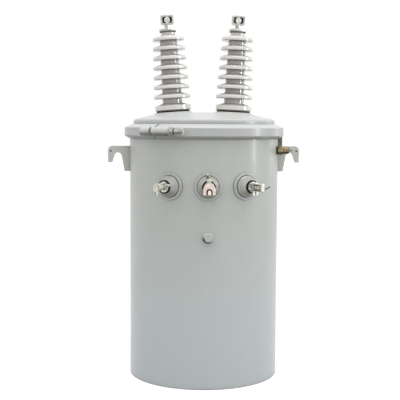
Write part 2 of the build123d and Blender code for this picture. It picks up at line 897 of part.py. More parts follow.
lifting_lug("lifting_lug_left", -1)
lifting_lug("lifting_lug_right", 1)

# ---- relief valve and band stop ------------------------------------------------------------
valve_base = radial_plane(valve_azimuth, tank_radius, tank_height - valve_drop)
hex_start = valve_collar_height + valve_groove
hex_end = hex_start + valve_hex_height
with BuildPart() as relief_valve:
    with BuildSketch(side_of(valve_base)):
        with BuildLine():
            Polyline(
                (-valve_depth, 0),
                (-valve_depth, valve_collar_radius),
                (valve_collar_height, valve_collar_radius),
                (valve_collar_height, valve_groove_radius),
                (hex_end, valve_groove_radius),
                (hex_end, valve_body_radius),
                (valve_length - valve_chamfer, valve_body_radius),
                (valve_length, valve_body_radius - valve_chamfer),
                (valve_length, 0),
                close=True,
            )
        make_face()
    revolve(axis=axis_of(valve_base))
    with BuildSketch(valve_base.offset(hex_start)):
        RegularPolygon(valve_hex_flats / 2, 6, major_radius=False)
    extrude(amount=valve_hex_height)
    Cylinder(tank_radius + seat_gap, 2 * tank_height, mode=Mode.SUBTRACT)
save(relief_valve, "relief_valve")

with BuildPart() as relief_pin:
    with BuildSketch(valve_base.offset(valve_length)):
        Circle(valve_pin_radius)
    extrude(amount=valve_pin_reach)
save(relief_pin, "relief_pin")

stop_face = tank_radius + stop_reach
stop_foot = lower_leg(tank_radius, 0) - stop_height
with BuildPart() as band_stop:
    with BuildSketch(meridian(stop_azimuth)):
        with BuildLine():
            Polyline(
                (tank_inner, stop_foot),
                (stop_face, stop_foot),
                (stop_face, lower_leg(stop_face, -seat_gap)),
                (tank_inner, lower_leg(tank_inner, -seat_gap)),
                close=True,
            )
        make_face()
    extrude(amount=stop_width / 2, both=True)
    Cylinder(tank_radius + seat_gap, 2 * tank_height, mode=Mode.SUBTRACT)
save(band_stop, "band_stop")


# ---- pole hangers --------------------------------------------------------------------------
def pole_hanger(name, bolt_height, keyhole):
    """A plate folded to a channel, its flat face to the pole, slotted for a hanging bolt."""
    face = tank_radius + hanger_standoff
    below = keyhole_drop + keyhole_radius + keyhole_margin if keyhole else hanger_below
    with BuildPart() as hanger:
        with BuildSketch(Plane.XY.offset(bolt_height - below)):
            with BuildLine():
                skin = FilletPolyline(
                    (-hanger_root / 2, tank_radius - hanger_standoff / 2),
                    (-hanger_face / 2, face),
                    (hanger_face / 2, face),
                    (hanger_root / 2, tank_radius - hanger_standoff / 2),
                    radius=hanger_bend,
                )
                offset(skin, amount=hanger_plate, side=Side.RIGHT)
            make_face()
        extrude(amount=below + hanger_above)
        Cylinder(tank_radius + seat_gap, 2 * tank_height, mode=Mode.SUBTRACT)
        with BuildSketch(Plane((0, face, bolt_height), x_dir=(-1, 0, 0), z_dir=(0, 1, 0))):
            Circle(hanger_bolt_radius)
            slot = keyhole_drop if keyhole else below + hanger_bolt_radius
            with Locations((0, -slot / 2)):
                Rectangle(2 * hanger_bolt_radius, slot)
            if keyhole:
                with Locations((0, -keyhole_drop)):
                    Circle(keyhole_radius)
        extrude(amount=-2 * hanger_plate, mode=Mode.SUBTRACT)
    save(hanger, name)


pole_hanger("pole_hanger_upper", tank_height - hanger_drop, True)
pole_hanger("pole_hanger_lower", tank_height - hanger_drop - hanger_pitch, False)
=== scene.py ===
import json
from math import cos, pi, radians, sin, sqrt

import bmesh
import bpy
from mathutils import Matrix, Vector
from mathutils.bvhtree import BVHTree


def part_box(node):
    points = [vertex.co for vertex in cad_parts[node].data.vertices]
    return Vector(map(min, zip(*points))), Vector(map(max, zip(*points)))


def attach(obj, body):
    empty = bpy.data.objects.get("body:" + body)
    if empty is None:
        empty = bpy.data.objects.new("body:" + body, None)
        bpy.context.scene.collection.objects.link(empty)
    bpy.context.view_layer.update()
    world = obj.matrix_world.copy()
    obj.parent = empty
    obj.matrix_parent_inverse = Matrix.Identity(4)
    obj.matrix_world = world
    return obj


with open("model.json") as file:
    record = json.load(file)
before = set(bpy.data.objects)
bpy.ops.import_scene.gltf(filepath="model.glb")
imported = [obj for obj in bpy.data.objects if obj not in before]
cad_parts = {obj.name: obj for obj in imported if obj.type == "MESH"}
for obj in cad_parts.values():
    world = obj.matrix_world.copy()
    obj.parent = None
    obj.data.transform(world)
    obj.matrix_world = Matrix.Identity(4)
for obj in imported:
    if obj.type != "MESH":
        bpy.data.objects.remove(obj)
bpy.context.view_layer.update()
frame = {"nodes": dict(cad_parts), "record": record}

scene = bpy.context.scene
scene.view_settings.view_transform = "Standard"
MM = 0.001
FRONT = Vector((0.0, -1.0, 0.0))
UP = Vector((0.0, 0.0, 1.0))
DOWN = Vector((0.0, 0.0, -1.0))


# ---- camera ----------------------------------------------------------------------------------
# A little to the left of the front, above the middle of the tank and looking slightly down.
CAMERA_PLACE = Vector((-0.1560, -2.7895, 0.7672))
HEADING = radians(2.966)  # from +Y towards +X
PITCH = radians(4.7076)  # down
ROLL = radians(0.27)
LENS = 80.98
SENSOR_WIDTH = 36.0
NEAREST, FARTHEST = 0.05, 60.0

camera_data = bpy.data.cameras.new("camera")
camera_data.lens = LENS
camera_data.sensor_width = SENSOR_WIDTH
camera_data.clip_start = NEAREST
camera_data.clip_end = FARTHEST
camera = bpy.data.objects.new("camera", camera_data)
bpy.context.collection.objects.link(camera)
forward = Vector((sin(HEADING) * cos(PITCH), cos(HEADING) * cos(PITCH), -sin(PITCH)))
level = Vector((cos(HEADING), -sin(HEADING), 0.0))
upright = level.cross(forward)
right = cos(ROLL) * level + sin(ROLL) * upright
up = -sin(ROLL) * level + cos(ROLL) * upright
attitude = Matrix((right, up, -forward)).transposed()
camera.matrix_world = Matrix.Translation(CAMERA_PLACE) @ attitude.to_4x4()
scene.camera = camera


# ---- building blocks of the finishes ---------------------------------------------------------
class Finish:
    """One procedural finish: a Principled shader and the nodes that feed it."""

    def __init__(self, name, metallic=0.0, level=0.5):
        self.material = bpy.data.materials.new(name)
        self.material.use_nodes = True
        self.tree = self.material.node_tree
        self.tree.nodes.clear()
        self.shader = self.node("BsdfPrincipled")
        self.link(self.shader.outputs["BSDF"], self.node("OutputMaterial").inputs["Surface"])
        self.shader.inputs["Metallic"].default_value = metallic
        self.shader.inputs["Specular IOR Level"].default_value = level
        self.place = self.node("TexCoord").outputs["Object"]

    def node(self, kind):
        """Adds a node of a kind to the material."""
        return self.tree.nodes.new("ShaderNode" + kind)

    def link(self, value, socket):
        """Feeds a node's output, or a plain number, vector or colour, into a socket."""
        if isinstance(value, bpy.types.NodeSocket):
            self.tree.links.new(value, socket)
        elif isinstance(value, (int, float)):
            socket.default_value = value
        else:
            socket.default_value = (*value, 1.0)[: len(socket.default_value)]

    # -- arithmetic

    def maths(self, operation, a, b=0.0):
        """Arithmetic on one number or two."""
        node = self.node("Math")
        node.operation = operation
        self.link(a, node.inputs[0])
        self.link(b, node.inputs[1])
        return node.outputs[0]

    def times(self, a, b):
        """Two numbers multiplied."""
        return self.maths("MULTIPLY", a, b)

    def vectors(self, operation, a, b=(0.0, 0.0, 0.0)):
        """Arithmetic on vectors: a dot product or a length is a number, all else a vector."""
        node = self.node("VectorMath")
        node.operation = operation
        self.link(a, node.inputs[0])
        self.link(b, node.inputs[1])
        return node.outputs["Value" if operation in ("DOT_PRODUCT", "LENGTH") else "Vector"]

    def axis(self, letter, vector=None):
        """The X, Y or Z of a vector, or of the place in the frame."""
        node = self.node("SeparateXYZ")
        self.link(self.place if vector is None else vector, node.inputs[0])
        return node.outputs[letter]

    def spread(self, value, low, high, to_low=0.0, to_high=1.0):
        """A value's range mapped to another, clamped and eased at both ends."""
        node = self.node("MapRange")
        node.interpolation_type = "SMOOTHSTEP"
        self.link(value, node.inputs["Value"])
        node.inputs["From Min"].default_value = low
        node.inputs["From Max"].default_value = high
        node.inputs["To Min"].default_value = to_low
        node.inputs["To Max"].default_value = to_high
        return node.outputs["Result"]

    def mix(self, share, a, b, blend="MIX"):
        """Colour a with this share of colour b over it."""
        node = self.node("Mix")
        node.data_type = "RGBA"
        node.blend_type = blend
        self.link(share, node.inputs["Factor"])
        self.link(a, node.inputs["A"])
        self.link(b, node.inputs["B"])
        return node.outputs["Result"]

    # -- patterns

    def stretched(self, stretch):
        """The place in the frame, stretched by a factor along each axis."""
        return self.vectors("MULTIPLY", self.place, stretch)

    def noise(self, size, detail=2.0, rough=0.5, stretch=None):
        """Soft noise whose largest blobs are about this many metres across."""
        node = self.node("TexNoise")
        node.inputs["Scale"].default_value = 1.0 / size
        node.inputs["Detail"].default_value = detail
        node.inputs["Roughness"].default_value = rough
        self.link(self.stretched(stretch) if stretch else self.place, node.inputs["Vector"])
        return node.outputs["Fac"]

    def scatter(self, size):
        """Distance to the nearest of points scattered about this many metres apart."""
        node = self.node("TexVoronoi")
        node.inputs["Scale"].default_value = 1.0 / size
        self.link(self.place, node.inputs["Vector"])
        return node.outputs["Distance"]

    # -- masks by shape

    def crevice(self, reach):
        """1 in corners and gaps narrower than this reach, 0 on open faces."""
        node = self.node("AmbientOcclusion")
        node.samples = 8
        node.inputs["Distance"].default_value = reach
        return self.maths("SUBTRACT", 1.0, node.outputs["AO"])

    def facing(self, low, high):
        """0 to 1 as the upward part of the surface's normal goes from one value to the other."""
        normal = self.node("NewGeometry").outputs["Normal"]
        return self.spread(self.axis("Z", normal), low, high)

    def facing_down(self):
        """1 on faces that look down, 0 on upright ones and those that look up."""
        return self.facing(-0.05, -0.70)

    def rounded(self, radius):
        """The surface's normal with its sharp edges rounded off."""
        node = self.node("Bevel")
        node.samples = 6
        node.inputs["Radius"].default_value = radius
        return node.outputs["Normal"]

    def edge_wear_and_highlight(self, radius):
        """1 along outer and inner edges, 0 on flat faces."""
        normal = self.node("NewGeometry").outputs["Normal"]
        agreement = self.vectors("DOT_PRODUCT", self.rounded(radius), normal)
        return self.spread(agreement, 0.998, 0.90)

    # -- distances, in metres

    def along(self, start, way):
        """Distance from a point, measured along a direction."""
        way = way.normalized()
        return self.maths(
            "SUBTRACT", self.vectors("DOT_PRODUCT", self.place, way), Vector(start).dot(way)
        )

    def depth(self):
        """Distance from the plane through the tank's axis that holds both lifting lugs."""
        return self.maths("ABSOLUTE", self.axis("Y"))

    def under_arch(self, crown):
        """Distance from a point seen from the front; below it, from the line down from it."""
        across = self.maths("SUBTRACT", self.axis("X"), crown[0])
        above = self.maths("MAXIMUM", self.maths("SUBTRACT", self.axis("Z"), crown[2]), 0.0)
        squares = self.maths("ADD", self.times(across, across), self.times(above, above))
        return self.maths("SQRT", squares)

    def beyond(self, radius):
        """Distance out of an upright cylinder of this radius round the tank's axis."""
        distance = self.vectors("LENGTH", self.stretched((1.0, 1.0, 0.0)))
        return self.maths("SUBTRACT", distance, radius)

    def beside(self, x):
        """1 on this x's side of the tank's axis, 0 on the other side."""
        return self.maths("GREATER_THAN", self.times(self.axis("X"), x), 0.0)

    # -- what the shader is given

    def colour(self, value):
        """Sets the base colour."""
        self.link(value, self.shader.inputs["Base Color"])

    def roughness(self, value):
        """Sets the roughness."""
        self.link(value, self.shader.inputs["Roughness"])

    def coat(self, weight, rough):
        """Adds a clear coat."""
        self.shader.inputs["Coat Weight"].default_value = weight
        self.shader.inputs["Coat Roughness"].default_value = rough

    def bump(self, layers, edge):
        """Rounds the edges and stacks bumps: a height pattern and its depth in metres each."""
        normal = self.rounded(edge)
        for pattern, deep in layers:
            node = self.node("Bump")
            node.inputs["Strength"].default_value = 1.0
            node.inputs["Distance"].default_value = deep
            self.link(pattern, node.inputs["Height"])
            self.link(normal, node.inputs["Normal"])
            normal = node.outputs["Normal"]
        self.link(normal, self.shader.inputs["Normal"])
        self.link(normal, self.shader.inputs["Coat Normal"])

    def marked(self, mask, colour, rough, bare=False):
        """Lays another colour over the finish where the mask is 1, and makes it this rough.

        A bare mark leaves the metal as metallic as it was. Any other hides it, and has to be
        the last one put on a finish.
        """
        base = self.shader.inputs["Base Color"].links[0].from_socket
        self.colour(self.mix(mask, base, colour))
        if not bare:
            metallic = self.shader.inputs["Metallic"]
            left = self.maths("SUBTRACT", 1.0, mask)
            self.link(self.times(left, metallic.default_value), metallic)
        before = self.shader.inputs["Roughness"].links[0].from_socket
        self.roughness(self.maths("MAXIMUM", before, self.times(mask, rough)))


def tint(colour, factor):
    """A colour made lighter or darker by one factor, or by a factor for each channel."""
    factors = factor if isinstance(factor, tuple) else (factor,) * 3
    return tuple(min(1.0, channel * share) for channel, share in zip(colour, factors))


# ---- kinds of finish -------------------------------------------------------------------------
CORNER_DUST_AND_SHADE = (0.95, 0.92, 0.86)
SEAM_DIRT_AND_SHADE = (0.95, 0.93, 0.88)
RUBBER_DUST = (0.32, 0.31, 0.29)


def enamel(slot, colour, waves, grime_and_shade=0.35, seam_dirt_and_shade=0.90, shade=0.0, painted_cool_light=0.0):
    """Sprayed enamel on sheet steel: orange peel, long soft waves, dust and painted shade in
    corners and seam lines, painted shade on undersides.

    Waves is how deep the long waves are. The two corner amounts say how much dust and painted
    shade lie in wide and in narrow corners, shade how dark the painted shade on the undersides
    is, and the last amount how strongly painted cool light tints the paint towards the floor.
    """
    finish = Finish("enamel_" + slot, level=0.12)
    patches = finish.noise(0.22, detail=3.0, rough=0.6, stretch=(1.0, 1.0, 0.6))
    patches = finish.spread(patches, 0.35, 0.65)
    base = finish.mix(patches, tint(colour, 0.97), tint(colour, 1.03))
    cool = finish.spread(finish.noise(0.09), 0.42, 0.62, to_high=0.55)
    base = finish.mix(cool, base, tint(colour, (0.965, 1.0, 0.985)))
    fine = finish.spread(finish.noise(2.5 * MM), 0.40, 0.75, to_high=0.10)
    base = finish.mix(fine, base, tint(colour, 0.85))
    # Painted cool light: the paint is tinted cool towards the floor.
    if painted_cool_light:
        painted_cool_light_low = finish.spread(finish.axis("Z"), 0.60, 0.10, to_high=painted_cool_light)
        base = finish.mix(painted_cool_light_low, base, tint(colour, (1.00, 1.05, 1.13)))
    # Dust and painted shade darken wide corners.
    dust = finish.times(finish.crevice(18 * MM), grime_and_shade)
    base = finish.mix(dust, base, tint(CORNER_DUST_AND_SHADE, 0.45 * colour[0]))
    # Dirt and painted shade darken narrow corners and seam lines.
    seam = finish.times(finish.spread(finish.crevice(7 * MM), 0.26, 0.60), seam_dirt_and_shade)
    base = finish.mix(seam, base, tint(SEAM_DIRT_AND_SHADE, 0.22 * colour[0]))
    # Painted shade darkens the undersides.
    if shade:
        base = finish.mix(finish.times(finish.facing_down(), shade), base, tint(colour, 0.35))
    # Edges are lighter: wear and painted highlight.
    edges = finish.times(finish.edge_wear_and_highlight(0.9 * MM), 0.22)
    base = finish.mix(edges, base, tint(colour, 1.25))
    finish.colour(base)
    finish.roughness(finish.spread(finish.noise(0.03, detail=3.0), 0.3, 0.7, 0.40, 0.52))
    finish.coat(weight=0.32, rough=0.22)
    finish.shader.inputs["Coat IOR"].default_value = 1.38
    peel = finish.noise(2.2 * MM)
    long_waves = finish.noise(0.05, detail=1.0, stretch=(1.0, 1.0, 0.35))
    finish.bump([(peel, 0.04 * MM), (long_waves, waves)], edge=1.2 * MM)
    return finish


def glaze(slot, colour, body, under, hollows=(0.30, 0.95), shaded_tops=1.0):
    """Porcelain under clear glaze: darker in the hollows, where glaze pools and shade is painted,
    painted shade on undersides, upward faces and narrow corners, pinholes, faint turning rings.

    Body is the colour in the hollows, and under the painted shade colour of the undersides.
    Hollows says from how narrow a place to how narrow a one it darkens, and the last amount how
    light upward faces may be under their painted shade.
    """
    finish = Finish("glaze_" + slot, level=0.5)
    cloud = finish.noise(30 * MM, detail=4.0, rough=0.6)
    base = finish.mix(finish.spread(cloud, 0.3, 0.7), tint(colour, 0.96), tint(colour, 1.03))
    # Glaze pools in the hollows, and painted shade darkens them as well.
    hollow = finish.spread(finish.crevice(30 * MM), *hollows, to_high=0.85)
    base = finish.mix(hollow, base, body)
    # Painted shade darkens the undersides.
    base = finish.mix(finish.times(finish.facing_down(), 0.8), base, under)
    # Painted shade darkens upward faces to at most a share of the colour.
    base = finish.mix(finish.facing(0.40, 0.90), base, tint(colour, shaded_tops), "DARKEN")
    # Painted shade darkens narrow corners.
    seam = finish.spread(finish.crevice(6 * MM), 0.22, 0.55, to_high=0.8)
    base = finish.mix(seam, base, tint(body, 0.4))
    pinholes = finish.spread(finish.scatter(4.5 * MM), 0.16, 0.08, to_high=0.35)
    pinholes = finish.times(pinholes, finish.spread(cloud, 0.5, 0.6))
    base = finish.mix(pinholes, base, tint(body, 0.5))
    # Edges are lighter: painted highlight and wear.
    edges = finish.times(finish.edge_wear_and_highlight(1.5 * MM), 0.30)
    base = finish.mix(edges, base, tint(colour, 1.15))
    finish.colour(base)
    finish.roughness(finish.spread(finish.noise(12 * MM), 0.3, 0.7, 0.13, 0.22))
    ripples = finish.noise(1.6 * MM, detail=1.0)
    rings = finish.noise(10 * MM, stretch=(0.15, 0.15, 1.6))
    finish.bump([(ripples, 0.02 * MM), (rings, 0.18 * MM)], edge=1.0 * MM)
    finish.coat(weight=0.25, rough=0.08)
    return finish


def rubber(slot, colour, dust, rough=(0.62, 0.82)):
    """Moulded rubber: matt grain with pale dust on it."""
    finish = Finish("rubber_" + slot, level=0.2)
    grain = finish.noise(1.2 * MM, detail=4.0, rough=0.65)
    base = finish.mix(finish.spread(grain, 0.35, 0.7), tint(colour, 0.8), tint(colour, 1.3))
    film = finish.noise(10 * MM, detail=4.0, rough=0.7)
    base = finish.mix(finish.spread(film, 0.52, 0.75, to_high=dust), base, RUBBER_DUST)
    finish.colour(base)
    finish.roughness(finish.spread(grain, 0.3, 0.7, *rough))
    finish.bump([(grain, 0.12 * MM)], edge=0.6 * MM)
    return finish


def metal(
    slot, colour, tarnish, rough, grain, depth,
    lines=(1.0, 1.0, 1.0), metallic=1.0, shade=0.0, under=-0.05,
):
    """Bare or plated metal: scratches, tarnished patches, corners darkened by tarnish and painted
    shade, and edges lightened by wear and painted highlight.

    Grain is how wide the scratches are, depth how deep, and lines stretches them. Shade says
    how dark the painted shade on the undersides is, and under how far up a face may look and
    still be one.
    """
    finish = Finish("metal_" + slot, metallic=metallic)
    patches = finish.noise(14 * MM, detail=4.0, rough=0.6)
    base = finish.mix(finish.spread(patches, 0.35, 0.68), colour, tarnish)
    scratches = finish.noise(grain, detail=3.0, rough=0.6, stretch=lines)
    dull = finish.spread(scratches, 0.35, 0.7, to_high=0.22)
    base = finish.mix(dull, base, tint(colour, 0.7))
    # Tarnish and painted shade darken the corners.
    corners = finish.times(finish.spread(finish.crevice(8 * MM), 0.35, 0.95), 0.75)
    base = finish.mix(corners, base, tint(tarnish, 0.18))
    # Painted shade darkens the undersides.
    if shade:
        below = finish.times(finish.facing(under, -0.70), shade)
        base = finish.mix(below, base, tint(tarnish, 0.15))
    # Edges are lighter: wear and painted highlight.
    edges = finish.times(finish.edge_wear_and_highlight(0.7 * MM), 0.5)
    base = finish.mix(edges, base, tint(colour, 1.25))
    finish.colour(base)
    finish.roughness(finish.spread(patches, 0.3, 0.7, rough - 0.06, rough + 0.12))
    finish.bump([(scratches, depth), (patches, 0.2 * MM)], edge=0.7 * MM)
    return finish


# ---- the finish of each slot -----------------------------------------------------------------
PAINT = (0.462, 0.470, 0.462)
# Below, the corner and underside amounts set painted shade as well as dirt, the porcelain's limit
# for upward faces sets painted shade, and the tank's last amount sets painted cool light.
finishes = {
    "tank_paint": enamel("tank", (0.466, 0.480, 0.456), waves=1.0 * MM, painted_cool_light=0.9),
    "cover_paint": enamel("cover", tint(PAINT, 0.95), waves=0.8 * MM, grime_and_shade=0.10, seam_dirt_and_shade=0.25),
    "band_steel": enamel("band", tint(PAINT, 0.96), waves=0.4 * MM, grime_and_shade=0.60, shade=0.45),
    "core": metal(
        "core", (0.16, 0.15, 0.14), (0.10, 0.09, 0.08), rough=0.50, grain=4.0 * MM, depth=0.30 * MM
    ),
    "gasket_rubber": rubber("gasket", (0.011, 0.010, 0.009), dust=0.05),
    "dark_rubber": rubber("stop", (0.185, 0.182, 0.158), dust=0.35, rough=(0.5, 0.7)),
    "porcelain": glaze(
        "porcelain", (0.635, 0.618, 0.590), body=(0.340, 0.310, 0.284),
        under=(0.215, 0.200, 0.184), shaded_tops=0.74,
    ),
    "zinc_hardware": metal(
        "zinc", (0.54, 0.54, 0.52), (0.36, 0.36, 0.34), rough=0.28, grain=1.2 * MM,
        depth=0.06 * MM, shade=0.9, under=0.15,
    ),
    "cap_metal": metal(
        "cap", (0.66, 0.65, 0.63), (0.50, 0.48, 0.46), rough=0.50, grain=1.1 * MM,
        depth=0.10 * MM, metallic=0.8,
    ),
    "terminal_metal": metal(
        "terminal", (0.52, 0.51, 0.49), (0.38, 0.37, 0.34), rough=0.34, grain=0.9 * MM,
        depth=0.08 * MM,
    ),
    "clamp_metal": metal(
        "clamp", (0.70, 0.69, 0.66), (0.52, 0.51, 0.48), rough=0.30, grain=1.0 * MM,
        depth=0.08 * MM,
    ),
    "stud_metal": metal(
        "stud", (0.72, 0.72, 0.69), (0.46, 0.45, 0.42), rough=0.22, grain=0.8 * MM,
        depth=0.06 * MM,
    ),
    "saddle_bronze": metal(
        "saddle", (0.84, 0.75, 0.70), (0.62, 0.50, 0.43), rough=0.34, grain=1.0 * MM,
        depth=0.08 * MM, metallic=0.75,
    ),
    "eye_metal": metal(
        "eye", (0.66, 0.655, 0.585), (0.52, 0.515, 0.44), rough=0.36, grain=1.0 * MM,
        depth=0.08 * MM, metallic=0.3, shade=0.6,
    ),
    "strap_copper": metal(
        "strap", (0.62, 0.62, 0.55), (0.42, 0.43, 0.36), rough=0.42, grain=1.2 * MM,
        depth=0.06 * MM, lines=(8.0, 8.0, 0.6),
    ),
    "valve_brass": metal(
        "valve", (0.330, 0.255, 0.145), (0.205, 0.150, 0.080), rough=0.36, grain=1.1 * MM,
        depth=0.10 * MM, shade=0.9,
    ),
    "pin_steel": metal(
        "pin", (0.120, 0.105, 0.078), (0.060, 0.050, 0.036), rough=0.40, grain=0.8 * MM,
        depth=0.05 * MM,
    ),
}

# Finishes of nodes that differ from the rest of their slot, and of added pieces.
low_voltage = glaze(
    "low_voltage", (0.396, 0.394, 0.372), body=(0.150, 0.142, 0.120),
    under=(0.235, 0.226, 0.188), hollows=(0.22, 0.80),
)
side_clamp = metal(
    "side_clamp", (0.66, 0.65, 0.60), (0.36, 0.35, 0.31), rough=0.30, grain=1.0 * MM,
    depth=0.08 * MM, metallic=0.8,
)
barrel = metal(
    "barrel", (0.535, 0.545, 0.525), (0.47, 0.48, 0.46), rough=0.40, grain=2.0 * MM,
    depth=0.12 * MM, metallic=0.35, shade=0.9, under=0.25,
)
bolt_paint = enamel("bolt", tint(PAINT, 1.02), waves=0.1 * MM, grime_and_shade=0.5, seam_dirt_and_shade=1.0, shade=1.0)
# The ground pad's paint is the tank's made lighter: painted light on the pad.
lit_pad_paint = enamel("pad", tint(PAINT, 1.26), waves=0.2 * MM, grime_and_shade=0.05, seam_dirt_and_shade=0.05, shade=0.4)
lug_paint = enamel("lug", (0.520, 0.503, 0.478), waves=0.3 * MM)
hole_rubber = rubber("plug", (0.050, 0.048, 0.044), dust=0.10)
seat_rubber = rubber("seat", (0.150, 0.148, 0.138), dust=0.30)
dark_screw = metal(
    "screw", (0.050, 0.052, 0.046), (0.026, 0.026, 0.022), rough=0.45, grain=0.8 * MM,
    depth=0.05 * MM,
)
bolt_steel = metal(
    "thread", (0.42, 0.42, 0.40), (0.25, 0.25, 0.23), rough=0.34, grain=0.8 * MM,
    depth=0.04 * MM,
)
special = {
    "band_lug_left": barrel,
    "band_lug_right": barrel,
    "ground_bolt": bolt_paint,
    "ground_pad": lit_pad_paint,
    "lifting_lug_left": lug_paint,
    "lifting_lug_right": lug_paint,
    "lv_bushing_left": low_voltage,
    "lv_bushing_centre": low_voltage,
    "lv_bushing_right": low_voltage,
    "lv_saddle_left": side_clamp,
    "lv_saddle_right": side_clamp,
}


# ---- marks at certain places -----------------------------------------------------------------
LIP_REACH = 13.3 * MM  # the tank's rolled lip stands this far out of its wall
WALL = max(abs(corner[0]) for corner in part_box("tank_wall")) - LIP_REACH
DARK_BRASS = (0.020, 0.014, 0.009)
DULL_BRASS = (0.47, 0.39, 0.25)
SHADED_BRASS = (0.036, 0.026, 0.013)
NEAR_BLACK = (0.006, 0.006, 0.005)
SHADE_BROWN = (0.034, 0.024, 0.016)
DULL_STEEL = (0.034, 0.032, 0.025)
JOINT_GREY = (0.095, 0.092, 0.088)
PAINTED_SHADE = tint(PAINT, 0.19)


def centre_of(node):
    """The middle of a node's box."""
    low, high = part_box(node)
    return (Vector(low) + Vector(high)) / 2


# The relief valve has a dull hexagon, painted shade in brown brass on its lower side, and
# dark brass at its foot and mouth.
valve = finishes["valve_brass"]
out_of_wall = valve.beyond(WALL)
hexagon = valve.spread(out_of_wall, 20.5 * MM, 19.0 * MM, to_high=0.70)
valve.marked(hexagon, DULL_BRASS, 0.38, bare=True)
# Painted shade in brown brass on the lower side of the valve's body.
below_middle = valve.along(centre_of("relief_valve"), DOWN)
painted_underside_shade = valve.spread(below_middle, 1.5 * MM, 5.5 * MM, to_high=0.85)
valve.marked(painted_underside_shade, SHADED_BRASS, 0.5, bare=True)
thread_end = valve.spread(out_of_wall, 5.2 * MM, 4.6 * MM)
mouth = valve.spread(out_of_wall, 33.5 * MM, 34.5 * MM, to_high=0.75)
valve.marked(valve.maths("MAXIMUM", thread_end, mouth), DARK_BRASS, 0.6)

# The block that closes a high-voltage eye is black; the pad that stands out of it is bare.
clamp = finishes["clamp_metal"]
clamp.marked(clamp.spread(clamp.depth(), 4.6 * MM, 4.0 * MM), NEAR_BLACK, 0.7)

# The draw pin that stands out of the right yoke's side is dull steel.
yoke = finishes["eye_metal"]
outward = centre_of("lv_seal_right")
sideways = Vector((-outward.y, outward.x, 0.0))
pin = yoke.spread(yoke.along((0.0, 0.0, 0.0), sideways), 5.7 * MM, 6.1 * MM, to_high=0.9)
yoke.marked(pin, DULL_STEEL, 0.5, bare=True)

# Painted shade in dark brown lies in the arch of the neutral clamp and on the metal beside it.
ARCH_RISE = 8.5 * MM  # from the clamp's foot to the middle of its arch
arch = finishes["saddle_bronze"]
low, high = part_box("lv_saddle_centre")
to_crown = arch.under_arch(((low[0] + high[0]) / 2, 0.0, low[2] + ARCH_RISE))
inner_side = arch.spread(to_crown, 4.0 * MM, 5.0 * MM)
outer_side = arch.spread(to_crown, 8.6 * MM, 7.6 * MM)
patchy = arch.spread(arch.noise(4.0 * MM, detail=3.0), 0.25, 0.5, 0.7, 1.0)
arch.marked(arch.times(arch.times(inner_side, outer_side), patchy), SHADE_BROWN, 0.6, bare=True)

# Painted shade in brown fills the narrow grooves of all three low-voltage clamps.
for finish in (yoke, side_clamp, arch):
    finish.marked(finish.spread(finish.crevice(4.0 * MM), 0.40, 0.75), SHADE_BROWN, 0.6)

# A painted shadow lies on the ground pad round the lower left of the bolt's head, and painted
# shade on the bolt's downward faces.
lower_left = Vector((-0.47, 0.0, -0.88))
off_middle = lit_pad_paint.along(centre_of("ground_pad"), lower_left)
shadow_crescent = lit_pad_paint.spread(off_middle, 1.0 * MM, 7.5 * MM, to_high=0.95)
lit_pad_paint.marked(shadow_crescent, PAINTED_SHADE, 0.6, bare=True)
bolt_paint.marked(bolt_paint.facing(-0.10, -0.45), PAINTED_SHADE, 0.6, bare=True)

# A dark joint under the lower rim of each high-voltage cap.
CAP_FOOT = 241.7 * MM  # from the middle of the bushing's gasket, along its axis
cap = finishes["cap_metal"]
joints = []
for side in ("left", "right"):
    seat = centre_of("hv_gasket_" + side)
    height = cap.along(seat, centre_of("hv_terminal_" + side) - seat)
    joint = cap.spread(height, CAP_FOOT + 4.0 * MM, CAP_FOOT + 3.0 * MM)
    joints.append(cap.times(cap.beside(seat.x), joint))
cap.marked(cap.maths("MAXIMUM", *joints), JOINT_GREY, 0.6)

for row in frame["record"]["subparts"]:
    node = frame["nodes"][row["node"]]
    node.data.materials.clear()
    finish = special.get(row["node"], finishes[row["material_slot"]])
    node.data.materials.append(finish.material)


# ---- small details in mesh code --------------------------------------------------------------
def add_piece(name, finish, rings, closed=False):
    """Skins a row of rings, joins or shuts its two ends and adds it as a piece on the body."""
    work = bmesh.new()
    loops = [[work.verts.new(point) for point in ring] for ring in rings]
    sides = len(loops[0])
    for near, far in zip(loops, loops[1:] + loops[:1] if closed else loops[1:]):
        for i in range(sides):
            j = (i + 1) % sides
            work.faces.new((near[i], near[j], far[j], far[i]))
    if not closed:
        work.faces.new(loops[0][::-1])
        work.faces.new(loops[-1])
    bmesh.ops.recalc_face_normals(work, faces=work.faces)
    mesh = bpy.data.meshes.new(name)
    work.to_mesh(mesh)
    work.free()
    mesh.shade_smooth()
    mesh.materials.append(finish.material)
    piece = bpy.data.objects.new(name, mesh)
    bpy.context.collection.objects.link(piece)
    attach(piece, "root")
    return piece


def square_to(way):
    """A unit vector along a direction, and two square to it and to each other."""
    way = way.normalized()
    across = way.orthogonal().normalized()
    return way, across, way.cross(across)


def spokes(across, over, sides):
    """Unit vectors that go once round from across, through over."""
    turns = [2 * pi * i / sides for i in range(sides)]
    return [cos(turn) * across + sin(turn) * over for turn in turns]


def turned(name, finish, foot, way, outline, sides=28):
    """A piece turned round an axis: the outline is pairs of height along it and radius."""
    way, across, over = square_to(way)
    rings = [
        [foot + height * way + radius * spoke for spoke in spokes(across, over, sides)]
        for height, radius in outline
    ]
    return add_piece(name, finish, rings)


def hoop(name, finish, foot, way, section, sides=96):
    """A ring round an axis: the section is pairs of height along it and radius."""
    way, across, over = square_to(way)
    rings = [
        [foot + height * way + radius * spoke for height, radius in section]
        for spoke in spokes(across, over, sides)
    ]
    return add_piece(name, finish, rings, closed=True)


